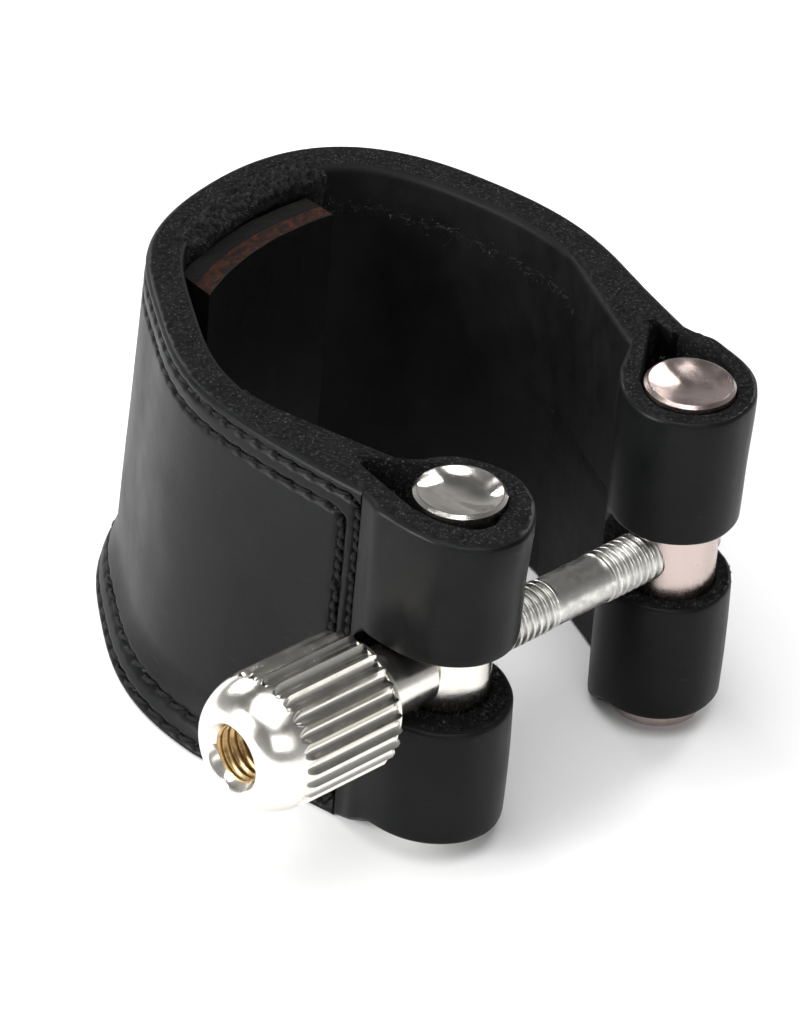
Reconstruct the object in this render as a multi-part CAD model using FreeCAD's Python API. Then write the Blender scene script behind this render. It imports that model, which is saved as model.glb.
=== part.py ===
"""Leather ligature for a saxophone mouthpiece.

Frame, in millimetres: the origin is on the axis of the band's hollow, at the band's lower edge.
+Z is up along the mouthpiece, +X runs along the screw from the nut's side (near) to the tapped
side (far), and +Y points from the screw to the back of the band, where the pressure plate is.
"""
import FreeCAD, Part
import math
import os
from FreeCAD import Vector

# Driving dimensions
BAND_HEIGHT = 25.2
COVER_THICKNESS = 1.4        # outer panel
STRAP_THICKNESS = 1.6        # inner strap, whose tails make the four loops
WALL = COVER_THICKNESS + STRAP_THICKNESS
BAND_CENTRE = Vector(1.3, 0, 0)
MEAN_RADIUS = 19.68
# Each harmonic of the band's egg-shaped outline: order, amplitude, direction of its bulge in degrees
HARMONICS = ((1, 6.16, -88.0), (2, 4.43, 79.2), (3, 1.84, 27.0), (4, 0.87, -4.9), (5, 0.56, -21.3))
FLARE = 1.05                 # how much further out the lower edge stands
HEM_SHARE = 0.45             # share of the flare that comes in the stitched hem at the bottom
HEM_HEIGHT = 4.5
FLARE_LEAN = 1.85            # more flare towards FLARE_SIDE, less away from it
FLARE_SIDE = 175.0
END_FLARE = 0.45             # share of the flare that is left at the band's two ends
END_FADE = 25.0              # degrees over which it fades

PIN_RADIUS = 3.0
PIN_LENGTH = 25.5
PIN_SPREAD = 10.15           # each pin's distance from the middle
SCREW_Y = -21.0
SCREW_Z = 13.04
DISH_RADIUS = 2.7            # the hollow in each pin's top end is part of a ball
DISH_DEPTH = 0.5
PIN_FIT = 0.05               # radial clearance of a pin in its leather loops
PIN_CHAMFER = 0.2

LOOP_SPANS = {"lower": (1.6, 10.45), "upper": (15.55, 25.0)}
LOOP_RADIUS = {"near": 4.66, "far": 4.4}

STUD_RADIUS = 1.75
SHANK_RADIUS = 1.67
STUD_NEAR_END = -24.5
SHANK_SPAN = (-1.4, 2.9)
NUT_BORE = 1.80
SLIDE_BORE = 1.85            # plain holes that the stud passes through
SEAT_DEPTH = 0.25
SEAT_RADIUS = 2.45
SEAT_GAP = 0.02

BUSH_NECK_RADIUS = 2.4
BUSH_FLANGE_RADIUS = 3.7
BUSH_FLANGE = 0.65
NUT_BACK = -17.95
NUT_LENGTH = 10.5
NUT_RADIUS = 4.6
NUT_DOME = 3.2
NUT_END_RADIUS = 2.5
FLUTES = 26
FLUTE_RADIUS = 0.46
FLUTE_DEPTH = 0.33

PLATE_RADIUS = 21.0          # front face, hollow towards the mouthpiece
PLATE_FRONT = Vector(0.4, 8.5, 0)
PLATE_TILT = 10.7
PLATE_HALF_ANGLE = 18.6
PLATE_SLANT = {"near": 2.9, "far": 0.4}      # degrees that each end draws in per mm of thickness
PLATE_FACE = 1.3
PLATE_BACKING = 1.3
PLATE_SPAN = (1.2, 24.2)
PAD_THICKNESS = 0.6
PAD_SPAN = (1.0, 24.4)
PAD_GAP = 0.05               # room for the glue behind the pad
PAD_ENDS = (68.0, 110.0)     # polar angles; beyond them the plate lies close to the band itself

HINGE_X = 8.0                # the band flexes beside the plate, this far each side of the middle
HINGE_GAP = 0.35
WALL_ENDS = {"near": 226.0, "far": -50.0}    # polar angles of the band's two ends

THREAD_PROUD = 0.2
THREAD_WIDTH = 0.5
THREAD_GAP = 0.03            # left free under the thread, where it bears on a curved face
OUTER_ROWS = (0.7, 2.1, 22.4, 23.9)          # heights of the rows that run round the band
INNER_ROWS = (3.0, 22.0)
END_ROWS = (1.1, 2.3)                        # distances of the upright rows from the band's near end
OUTLINE_STEP = 6.0                           # degrees between the points of an outline
HEM_STEPS = 4


def polar_radius(angle):
    return MEAN_RADIUS + sum(size * math.cos(math.radians(order * (angle - bulge)))
                             for order, size, bulge in HARMONICS)


def outline_point(angle):
    turn = math.radians(angle)
    return BAND_CENTRE + Vector(math.cos(turn), math.sin(turn), 0) * polar_radius(angle)


def outward(angle):
    """The outline's outward normal at a polar angle."""
    ahead = outline_point(angle + 0.5) - outline_point(angle - 0.5)
    return Vector(ahead.y, -ahead.x, 0).normalize()


def from_ends(angle):
    """0 at the band's ends, 1 where it no longer feels them."""
    to_end = min(WALL_ENDS["near"] - angle, angle - WALL_ENDS["far"])
    fade = max(0.0, min(1.0, to_end / END_FADE))
    return fade * fade * (3 - 2 * fade)


def flare(angle):
    share = END_FLARE + (1 - END_FLARE) * from_ends(angle)
    return share * (FLARE + FLARE_LEAN * math.cos(math.radians(angle - FLARE_SIDE)))


def spread(angle, z):
    """The share of the flare at a height: half of it grows evenly downwards, and the rest in the hem."""
    rise = min(1.0, z / HEM_HEIGHT)
    hem = HEM_SHARE * from_ends(angle) * (1 - rise * rise * (3 - 2 * rise))
    return 0.5 * (1 - z / BAND_HEIGHT) + hem


def wall_point(angle, z, depth):
    """A point of the wall, at a depth below the outer face."""
    out = flare(angle) * spread(angle, z) - depth
    point = outline_point(angle) + outward(angle) * out
    return Vector(point.x, point.y, z)


def wall_section(start, end, z, outer_depth, inner_depth):
    """The closed outline of one layer of the wall at height z."""
    steps = max(2, int(math.ceil((end - start) / OUTLINE_STEP)))
    angles = [start + (end - start) * i / steps for i in range(steps + 1)]
    curves = []
    for depth in (outer_depth, inner_depth):
        curve = Part.BSplineCurve()
        curve.interpolate(Points=[wall_point(a, z, depth) for a in angles], Parameters=angles)
        curves.append(curve.toShape())
    ends = [Part.makeLine(wall_point(a, z, outer_depth), wall_point(a, z, inner_depth))
            for a in (start, end)]
    return Part.Wire([curves[0], ends[1], curves[1].reversed(), ends[0]])


def wall_layer(start, end, low, high, outer_depth, inner_depth):
    hem = [HEM_HEIGHT * i / HEM_STEPS for i in range(1, HEM_STEPS + 1)]
    heights = [low] + [z for z in hem if low < z < high] + [high]
    outlines = [wall_section(start, end, z, outer_depth, inner_depth) for z in heights]
    return Part.makeLoft(outlines, True, True)


def angle_at_x(x):
    """The polar angle on the band's back half where the wall's inner face crosses x at mid height."""
    low, high = 20.0, 160.0
    for _ in range(40):
        middle = (low + high) / 2
        if wall_point(middle, BAND_HEIGHT / 2, WALL).x > x:
            low = middle
        else:
            high = middle
    return (low + high) / 2


def sections():
    """The polar span of each of the band's three rigid stretches."""
    far_hinge, near_hinge = angle_at_x(HINGE_X), angle_at_x(-HINGE_X)
    gap = math.degrees(HINGE_GAP / 2 / MEAN_RADIUS)
    return {"far": (WALL_ENDS["far"], far_hinge - gap),
            "back": (far_hinge + gap, near_hinge - gap),
            "near": (near_hinge + gap, WALL_ENDS["near"])}


def pin_axis(side):
    return Vector(-PIN_SPREAD if side == "near" else PIN_SPREAD, SCREW_Y, 0)


def tangent_point(centre, radius, outside, side):
    """Where the tangent from an outside point touches a circle; side is +1 (left) or -1 (right)."""
    to_point = Vector(outside.x - centre.x, outside.y - centre.y, 0)
    direction = math.atan2(to_point.y, to_point.x) + side * math.acos(radius / to_point.Length)
    return centre + Vector(math.cos(direction), math.sin(direction), 0) * radius


def loop(side, low, high):
    """A leather loop round a pin, which narrows from the band's end to the pin."""
    centre, radius = pin_axis(side), LOOP_RADIUS[side]
    turn = 1 if side == "near" else -1
    wires = []
    for z in (low, high):
        outer = wall_point(WALL_ENDS[side], z, 0)
        inner = wall_point(WALL_ENDS[side], z, WALL)
        corners = [outer, inner, tangent_point(centre, radius, inner, -turn), centre,
                   tangent_point(centre, radius, outer, turn)]
        corners = [Vector(c.x, c.y, z) for c in corners]
        wires.append(Part.makePolygon(corners + corners[:1]))
    neck = Part.makeLoft(wires, True, True)
    base = Vector(centre.x, centre.y, low)
    ring = Part.makeCylinder(radius, high - low, base)
    hole = Part.makeCylinder(PIN_RADIUS + PIN_FIT, high - low, base)
    return neck.fuse(ring).cut(hole).removeSplitter()


def along_screw(radius, start, end):
    return Part.makeCylinder(radius, end - start, Vector(start, SCREW_Y, SCREW_Z), Vector(1, 0, 0))


def pin(side):
    centre = pin_axis(side)
    body = Part.makeCylinder(PIN_RADIUS, PIN_LENGTH, centre)
    body = body.makeChamfer(PIN_CHAMFER, [e for e in body.Edges if e.Closed])
    ball = (DISH_RADIUS ** 2 + DISH_DEPTH ** 2) / (2 * DISH_DEPTH)
    return body.cut(Part.makeSphere(ball, centre + Vector(0, 0, PIN_LENGTH - DISH_DEPTH + ball)))


def near_pin():
    x = -PIN_SPREAD
    hole = along_screw(SLIDE_BORE, x - PIN_RADIUS - 1, x + PIN_RADIUS + 1)
    seat = along_screw(SEAT_RADIUS, x - PIN_RADIUS - 1, x - PIN_RADIUS + SEAT_DEPTH)
    return pin("near").cut(hole).cut(seat)


def far_pin():
    return pin("far").cut(along_screw(STUD_RADIUS, PIN_SPREAD - PIN_RADIUS - 1, PIN_SPREAD + PIN_RADIUS + 1))


def stud():
    far_end = PIN_SPREAD + PIN_RADIUS - PIN_CHAMFER
    near_thread = along_screw(STUD_RADIUS, STUD_NEAR_END, SHANK_SPAN[0])
    shank = along_screw(SHANK_RADIUS, *SHANK_SPAN)
    far_thread = along_screw(STUD_RADIUS, SHANK_SPAN[1], far_end)
    return near_thread.fuse([shank, far_thread])


def turned(profile):
    """A solid of revolution about the screw's axis, from (x, radius) points."""
    points = [Vector(x, SCREW_Y + r, SCREW_Z) for x, r in profile]
    face = Part.Face(Part.makePolygon(points + points[:1]))
    return face.revolve(Vector(0, SCREW_Y, SCREW_Z), Vector(1, 0, 0), 360)


def bush():
    seat = -PIN_SPREAD - PIN_RADIUS + SEAT_DEPTH - SEAT_GAP
    flange_end = NUT_BACK + BUSH_FLANGE
    return turned([(NUT_BACK, SLIDE_BORE), (NUT_BACK, BUSH_FLANGE_RADIUS),
                   (flange_end, BUSH_FLANGE_RADIUS), (flange_end, BUSH_NECK_RADIUS),
                   (seat, BUSH_NECK_RADIUS), (seat, SLIDE_BORE)])


def thumb_nut():
    """A fluted nut with a domed outer end, bored and tapped right through."""
    end = NUT_BACK - NUT_LENGTH
    dome_steps = 6
    drop = math.acos(NUT_END_RADIUS / NUT_RADIUS)
    dome = [(end + NUT_DOME * (1 - math.sin(drop * i / dome_steps) / math.sin(drop)),
             NUT_RADIUS * math.cos(drop * i / dome_steps)) for i in range(dome_steps + 1)]
    bevel = 0.25
    back = NUT_BACK - SEAT_GAP
    nut = turned([(back, NUT_BORE), (back, NUT_RADIUS - bevel), (back - bevel, NUT_RADIUS)] + dome
                 + [(end, NUT_BORE + bevel), (end + bevel, NUT_BORE)])
    start = end + NUT_DOME / 2
    cutters = []
    for i in range(FLUTES):
        turn = 2 * math.pi * i / FLUTES
        reach = NUT_RADIUS + FLUTE_RADIUS - FLUTE_DEPTH
        centre = Vector(start, SCREW_Y + reach * math.cos(turn), SCREW_Z + reach * math.sin(turn))
        cutters.append(Part.makeCylinder(FLUTE_RADIUS, NUT_BACK - start + 1, centre, Vector(1, 0, 0)))
    return nut.cut(cutters)


def plate_layer(front_depth, back_depth):
    """A strip of the curved pressure plate, between two depths behind its front face."""
    up = 90 + PLATE_TILT
    towards_back = Vector(math.cos(math.radians(up)), math.sin(math.radians(up)), 0)
    centre = PLATE_FRONT - towards_back * PLATE_RADIUS

    def at(depth, angle):
        turn = math.radians(up + angle)
        return centre + Vector(math.cos(turn), math.sin(turn), 0) * (PLATE_RADIUS + depth)

    def arc(depth, start, end):
        return Part.Arc(at(depth, start), at(depth, 0), at(depth, end)).toShape()

    def ends(depth):
        return (PLATE_SLANT["far"] * depth - PLATE_HALF_ANGLE, PLATE_HALF_ANGLE - PLATE_SLANT["near"] * depth)

    front_far, front_near = ends(front_depth)
    back_far, back_near = ends(back_depth)
    wire = Part.Wire([arc(front_depth, front_far, front_near),
                      Part.makeLine(at(front_depth, front_near), at(back_depth, back_near)),
                      arc(back_depth, back_near, back_far),
                      Part.makeLine(at(back_depth, back_far), at(front_depth, front_far))])
    low, high = PLATE_SPAN
    return Part.Face(wire).extrude(Vector(0, 0, high - low)).translated(Vector(0, 0, low))


def pocket_pad():
    """The soft backing between the plate and the band's inner face."""
    return wall_layer(*PAD_ENDS, *PAD_SPAN, WALL + PAD_GAP, WALL + PAD_THICKNESS)


def thread_rows(start, end, near_end=None):
    """The raised outer rows of thread on one stretch of the band, and the upright pair at its near end."""
    half = THREAD_WIDTH / 2
    rows = [wall_layer(start, end, z - half, z + half, -THREAD_PROUD, -THREAD_GAP) for z in OUTER_ROWS]
    if near_end:
        low, high = OUTER_ROWS[1] + THREAD_WIDTH, OUTER_ROWS[2] - THREAD_WIDTH
        for distance in END_ROWS:
            middle = near_end - math.degrees(distance / polar_radius(near_end))
            width = math.degrees(half / polar_radius(near_end))
            rows.append(wall_layer(middle - width, middle + width, low, high, -THREAD_PROUD, -THREAD_GAP))
    return rows


def inner_rows(start, end):
    half = THREAD_WIDTH / 2
    return [wall_layer(start, end, z - half, z + half, WALL + THREAD_GAP, WALL + THREAD_PROUD)
            for z in INNER_ROWS]


def export(name, solids):
    shape = solids[0] if len(solids) == 1 else Part.makeCompound(solids)
    for solid in shape.Solids:
        if not solid.isValid():
            print("not valid:", name)
    shape.exportStep("parts/%s.step" % name)
    print("%-24s solids %3d  volume %8.2f mm3" % (name, len(shape.Solids), shape.Volume))


def main():
    os.makedirs("parts", exist_ok=True)
    for stretch, (start, end) in sections().items():
        export("cover_" + stretch, [wall_layer(start, end, 0, BAND_HEIGHT, 0, COVER_THICKNESS)])
        export("strap_" + stretch, [wall_layer(start, end, 0, BAND_HEIGHT, COVER_THICKNESS, WALL)])
        near_end = WALL_ENDS["near"] if stretch == "near" else None
        export("cover_thread_" + stretch, thread_rows(start, end, near_end))
        if stretch != "back":
            export("lining_thread_" + stretch, inner_rows(start, end))
            for level, (low, high) in LOOP_SPANS.items():
                export("%s_loop_%s" % (level, stretch), [loop(stretch, low, high)])
    export("pocket_pad", [pocket_pad()])
    export("plate_face", [plate_layer(0, PLATE_FACE)])
    export("plate_backing", [plate_layer(PLATE_FACE, PLATE_FACE + PLATE_BACKING)])
    export("near_pin", [near_pin()])
    export("far_pin", [far_pin()])
    export("stud", [stud()])
    export("bush", [bush()])
    export("thumb_nut", [thumb_nut()])


main()
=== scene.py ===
"""Looks of a leather mouthpiece ligature.

Two leather plies with stitching, four loops on two pins, a screw with a fluted thumb nut, and a pressure
plate. Lengths here are in millimetres and become metres in the meshes.
"""

import math

import bpy
import numpy as np
from mathutils import Matrix, Vector, noise


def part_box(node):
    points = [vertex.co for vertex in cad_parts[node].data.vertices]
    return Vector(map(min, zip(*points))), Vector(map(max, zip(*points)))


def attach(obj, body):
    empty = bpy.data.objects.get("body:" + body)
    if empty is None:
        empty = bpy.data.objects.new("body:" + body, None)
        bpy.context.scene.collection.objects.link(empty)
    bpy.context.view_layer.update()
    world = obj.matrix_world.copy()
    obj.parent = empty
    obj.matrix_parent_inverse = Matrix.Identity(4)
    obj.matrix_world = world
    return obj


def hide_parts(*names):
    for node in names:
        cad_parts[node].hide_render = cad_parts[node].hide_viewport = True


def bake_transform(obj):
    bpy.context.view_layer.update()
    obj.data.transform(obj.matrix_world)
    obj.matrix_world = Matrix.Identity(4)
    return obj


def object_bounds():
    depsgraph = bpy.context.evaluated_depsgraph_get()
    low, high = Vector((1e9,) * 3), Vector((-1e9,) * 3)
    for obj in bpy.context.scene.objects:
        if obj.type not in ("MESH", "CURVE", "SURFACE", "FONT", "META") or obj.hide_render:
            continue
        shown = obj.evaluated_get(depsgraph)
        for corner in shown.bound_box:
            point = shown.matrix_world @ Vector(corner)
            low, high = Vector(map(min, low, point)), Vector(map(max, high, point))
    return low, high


MM = 0.001
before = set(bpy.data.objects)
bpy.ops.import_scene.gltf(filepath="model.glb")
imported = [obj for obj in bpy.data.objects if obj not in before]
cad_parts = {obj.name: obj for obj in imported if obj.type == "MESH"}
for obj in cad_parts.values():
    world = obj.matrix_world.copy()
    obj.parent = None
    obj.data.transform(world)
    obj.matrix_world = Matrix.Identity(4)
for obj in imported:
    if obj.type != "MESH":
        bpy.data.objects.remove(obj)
CAD_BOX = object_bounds()
random = np.random.default_rng(11)


def node_box(*nodes):
    """Lowest and highest corners of some CAD nodes together, in millimetres."""
    corners = np.array([[corner[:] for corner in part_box(node)] for node in nodes]) / MM
    return corners[:, 0].min(0), corners[:, 1].max(0)


# The band: the egg-shaped outline and flare of the CAD model
HEIGHT = node_box("cover_back")[1][2]
COVER = 1.4
WALL = 3.0
CENTRE = np.array((1.3, 0.0))
MEAN_RADIUS = 19.68
HARMONICS = ((1, 6.16, -88.0), (2, 4.43, 79.2), (3, 1.84, 27.0), (4, 0.87, -4.9), (5, 0.56, -21.3))
FLARE = 1.05
HEM_SHARE = 0.45
HEM_HEIGHT = 4.5
FLARE_LEAN = 1.85
FLARE_SIDE = 175.0
END_FLARE = 0.45
END_FADE = 25.0
ENDS = {"near": 226.0, "far": -50.0}
THIN_SPAN = (98.0, 222.0)    # polar angles between which the strap is pressed thinner
THIN_FADE = 25.0
THIN_DEPTH = 0.45
SEAM = 100.0                 # polar angle where the two modelled halves meet, behind the plate
STATION = 0.22               # spacing of the cross-sections along the band
EDGE = 0.45                  # rounding of the leather's edges
END_EDGE = {"near": 0.05, "far": 0.05}       # rounding of the cover's and strap's ends

# Stitching
PITCH = 1.6
END_PITCH = 0.8              # the upright rows at the ends are denser
THREAD = 0.145               # half width of a stitch
CHANNEL = 0.26               # depth of the channel along a row
CHANNEL_WIDTH = 0.21
UPRIGHT_CHANNEL_WIDTH = 0.30
PIT = 0.34                   # depth of the pit at each stitch hole
PIT_WIDTH = 0.24
DEEPEST = 0.62
COVER_PAST = {"near": 0.25, "far": 0.0}      # how far the cover reaches past the strap's end
ROWS = ((0.16, 0.75, HEIGHT - 0.85, 0.9), (1.35, 2.15, HEIGHT - 2.25, 0.8))   # end, low, high, corner radius
LINING_ROWS = (3.0, HEIGHT - 3.1)

# Pins, loops and screw
SIDES = {"near": 1, "far": -1}
PINS = {side: node_box(side + "_pin") for side in SIDES}
PIN_AXES = {side: (low[:2] + high[:2]) / 2 for side, (low, high) in PINS.items()}
PIN_RADIUS = (PINS["near"][1][0] - PINS["near"][0][0]) / 2
LOOPS = {(level, side): node_box("%s_loop_%s" % (level, side))
         for level in ("lower", "upper") for side in SIDES}
# Each loop's outer face round its pin, from the band's outside to its inside: direction in degrees, then
# distance from the pin's axis at the upper loop's top edge and lower down
RINGS = {
    "near": ((150, 5.55, 5.75), (165, 5.2, 5.5), (180, 5.0, 5.3), (197, 5.05, 5.3), (224, 5.5, 5.4),
             (246, 5.85, 5.4), (270, 5.75, 5.15), (298, 5.0, 4.65), (330, 4.6, 4.35), (360, 4.55, 4.35),
             (395, 4.3, 4.3), (440, 4.5, 4.5)),
    "far": ((40, 6.55, 6.4), (30, 6.0, 5.7), (15, 5.55, 5.1), (-5, 5.05, 4.6), (-35, 4.45, 4.15),
            (-76, 4.2, 4.1), (-108, 4.4, 4.3), (-157, 4.4, 4.4), (-190, 4.35, 4.4), (-230, 4.55, 4.5),
            (-245, 4.85, 4.7)),
}
RING_THICKNESS = {"near": 2.3, "far": 1.7}
NECK_THICKNESS = {"near": 2.3, "far": 1.8}   # where a loop leaves the band's outside
SPLIT_DEPTH = {"near": 2.6, "far": 1.55}     # where the two tails part
STRAP_BACK = 1.9                             # the tails stand for the strap's last stretch
SPLIT_BACK = 5.0                             # degrees before the band's end
TAIL_SPAN = 32.0                             # degrees of the band that the inner tail covers
TAIL_THICKNESS = {"near": 1.75, "far": 1.5}
STUD_LOW, STUD_HIGH = node_box("stud")
SCREW_Y, SCREW_Z = (STUD_LOW[1:] + STUD_HIGH[1:]) / 2
STUD_RADIUS = (STUD_HIGH[2] - STUD_LOW[2]) / 2
SHANK = (-1.4, 2.9)
SHANK_RADIUS = 1.67
SCREW_PITCH = 0.6
THREAD_DEPTH = 0.3
BUSH_LOW, BUSH_HIGH = node_box("bush")
NUT_LOW, NUT_HIGH = node_box("thumb_nut")
NUT_RADIUS = (NUT_HIGH[2] - NUT_LOW[2]) / 2
NUT_BORE = 1.8
NUT_SINK = 2.35              # countersink at the bore's open end
NUT_FACE = 2.5               # radius of the flat end of the dome
DOME = 3.9
FLUTES = 26

# Pressure plate
PLATE_RADIUS = 21.0
PLATE_FRONT = np.array((-0.12, 9.0))
PLATE_TILT = 10.7
PLATE_HALF_ANGLE = 18.6
PLATE_SLANT = {"near": 1.6, "far": 0.4}
PLATE_LAYERS = (0.0, 1.3, 2.6)
PLATE_SPAN = (1.2, 24.2)
PAD = (57.0, 124.0, 1.0, 24.95, 0.55)          # polar span, heights, thickness


# ---------------------------------------------------------------- shape of the band

def polar_radius(angle):
    waves = (size * np.cos(np.radians(order * (angle - bulge))) for order, size, bulge in HARMONICS)
    return MEAN_RADIUS + sum(waves)


def outline_point(angle):
    turn = np.radians(angle)
    return CENTRE + np.stack((np.cos(turn), np.sin(turn)), -1) * polar_radius(angle)[..., None]


def outward(angle):
    ahead = outline_point(angle + 0.5) - outline_point(angle - 0.5)
    normal = np.stack((ahead[..., 1], -ahead[..., 0]), -1)
    return normal / np.linalg.norm(normal, axis=-1, keepdims=True)


def from_ends(angle):
    """0 at the band's ends, 1 where it no longer feels them."""
    return smooth(np.minimum(ENDS["near"] - angle, angle - ENDS["far"]) / END_FADE)


def flare(angle):
    share = END_FLARE + (1 - END_FLARE) * from_ends(angle)
    return share * (FLARE + FLARE_LEAN * np.cos(np.radians(angle - FLARE_SIDE)))


def spread(angle, z):
    return 0.5 * (1 - z / HEIGHT) + HEM_SHARE * from_ends(angle) * (1 - smooth(z / HEM_HEIGHT))


def smooth(t):
    t = np.clip(t, 0, 1)
    return t * t * (3 - 2 * t)


def thinned(angle, depth):
    """Depth where the strap is pressed thinner, behind the plate's near end."""
    start, end = THIN_SPAN
    window = smooth((angle - start) / THIN_FADE) * smooth((end - angle) / THIN_FADE)
    return depth - THIN_DEPTH * window * np.clip((depth - COVER) / (WALL - COVER), 0, 1)


def wall_point(angle, z, depth):
    """A point of the wall at a depth below its outer face."""
    angle, z, depth = np.broadcast_arrays(np.asarray(angle, float), z, depth)
    depth = thinned(angle, depth)
    out = flare(angle) * spread(angle, z) - depth
    flat = outline_point(angle) + outward(angle) * out[..., None]
    return np.concatenate((flat, z[..., None]), -1)


def arc_table():
    angles = np.arange(ENDS["far"] - 10, ENDS["near"] + 10.1, 0.25)
    points = wall_point(angles, HEIGHT / 2, 0.0)
    steps = np.linalg.norm(np.diff(points, axis=0), axis=1)
    return angles, np.concatenate(([0], np.cumsum(steps)))


ARC_ANGLES, ARC_LENGTHS = arc_table()


def from_end(side, angle):
    """Distance along the band from one of its ends."""
    length = np.interp(angle, ARC_ANGLES, ARC_LENGTHS) - np.interp(ENDS[side], ARC_ANGLES, ARC_LENGTHS)
    return -SIDES[side] * length


def angle_at(side, distance):
    start = np.interp(ENDS[side], ARC_ANGLES, ARC_LENGTHS)
    return np.interp(start - SIDES[side] * distance, ARC_LENGTHS, ARC_ANGLES)


def grain(points, size, strength, seed=0.0):
    """Smooth random displacement, one value for each point."""
    flat = points.reshape(-1, 3) / size + seed
    values = np.array([noise.noise(Vector(p)) for p in flat])
    return values.reshape(points.shape[:-1]) * strength


# ---------------------------------------------------------------- meshes

def make_object(name, points, faces, looks, zones=None, sharp=40):
    """A mesh object from points in millimetres; zones give each face's material."""
    points = np.asarray(points, float).reshape(-1, 3)
    mesh = bpy.data.meshes.new(name)
    mesh.from_pydata((points * MM).tolist(), [], [list(map(int, face)) for face in faces])
    for look in looks:
        mesh.materials.append(look)
    if zones is not None:
        mesh.polygons.foreach_set("material_index", np.asarray(zones, np.int32))
    mesh.polygons.foreach_set("use_smooth", np.ones(len(mesh.polygons), bool))
    mesh.set_sharp_from_angle(angle=math.radians(sharp))
    mesh.update()
    if signed_volume(mesh) < 0:
        mesh.flip_normals()
    thing = bpy.data.objects.new(name, mesh)
    bpy.context.scene.collection.objects.link(thing)
    return thing


def signed_volume(mesh):
    mesh.calc_loop_triangles()
    corners = np.array([triangle.vertices[:] for triangle in mesh.loop_triangles])
    places = np.array([v.co[:] for v in mesh.vertices])[corners]
    return np.einsum("ij,ij->", places[:, 0], np.cross(places[:, 1], places[:, 2]))


def tube(rings, zones=0, capped=True, cap_zone=1):
    """Faces over closed rings of points (stations, round, 3), capped at both ends or joined into a torus."""
    stations, count = rings.shape[:2]
    zones = np.broadcast_to(zones, (count,))
    last = stations - 1 if capped else stations
    faces, kinds = [], []
    for i in range(last):
        j = (i + 1) % stations
        for k in range(count):
            m = (k + 1) % count
            faces.append((i * count + k, i * count + m, j * count + m, j * count + k))
            kinds.append(zones[k])
    if capped:
        faces.append(tuple(range(count - 1, -1, -1)))
        faces.append(tuple(range((stations - 1) * count, stations * count)))
        kinds += [cap_zone, cap_zone]
    return faces, kinds


def many(pieces):
    """Points and faces of many small tubes, joined in one list."""
    points, faces, start = [], [], 0
    for rings in pieces:
        points.append(rings.reshape(-1, 3))
        faces += [tuple(start + i for i in face) for face in tube(rings)[0]]
        start += rings.shape[0] * rings.shape[1]
    return np.concatenate(points), faces


def section(outer, inner, low, high, outer_corner, inner_corner, spacing, fine=0.0):
    """A strip's closed cross-section: the depth, height and zone of each point.

    The zones are 0 for the outer face, 1 for the cut edges and 2 for the inner face. Within the fine height
    from its edges the outer face has points twice as close.
    """
    rows = []

    def side(start, end, zone, step=spacing):
        start, end = np.array(start, float), np.array(end, float)
        count = max(1, int(round(np.linalg.norm(end - start) / step)))
        rows.extend([*(start + (end - start) * i / count), zone] for i in range(count))

    def corner(depth, z, radius, start, zone):
        turns = np.radians(start - np.arange(5) * 18.0)
        rows.extend([depth + radius * math.cos(t), z + radius * math.sin(t), zone] for t in turns)

    a, b = outer_corner, inner_corner
    if fine:
        side((outer, low + a), (outer, low + fine), 0, spacing / 2)
        side((outer, low + fine), (outer, high - fine), 0)
        side((outer, high - fine), (outer, high - a), 0, spacing / 2)
    else:
        side((outer, low + a), (outer, high - a), 0)
    corner(outer + a, high - a, a, 180, 0)
    side((outer + a, high), (inner - b, high), 1, 0.3)
    corner(inner - b, high - b, b, 90, 2)
    side((inner, high - b), (inner, low + b), 2)
    corner(inner - b, low + b, b, 0, 2)
    side((inner - b, low), (outer + a, low), 1, 0.3)
    corner(outer + a, low + a, a, -90, 0)
    rows = np.array(rows)
    return rows[:, 0], rows[:, 1], rows[:, 2].astype(int)


# ---------------------------------------------------------------- materials

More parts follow.
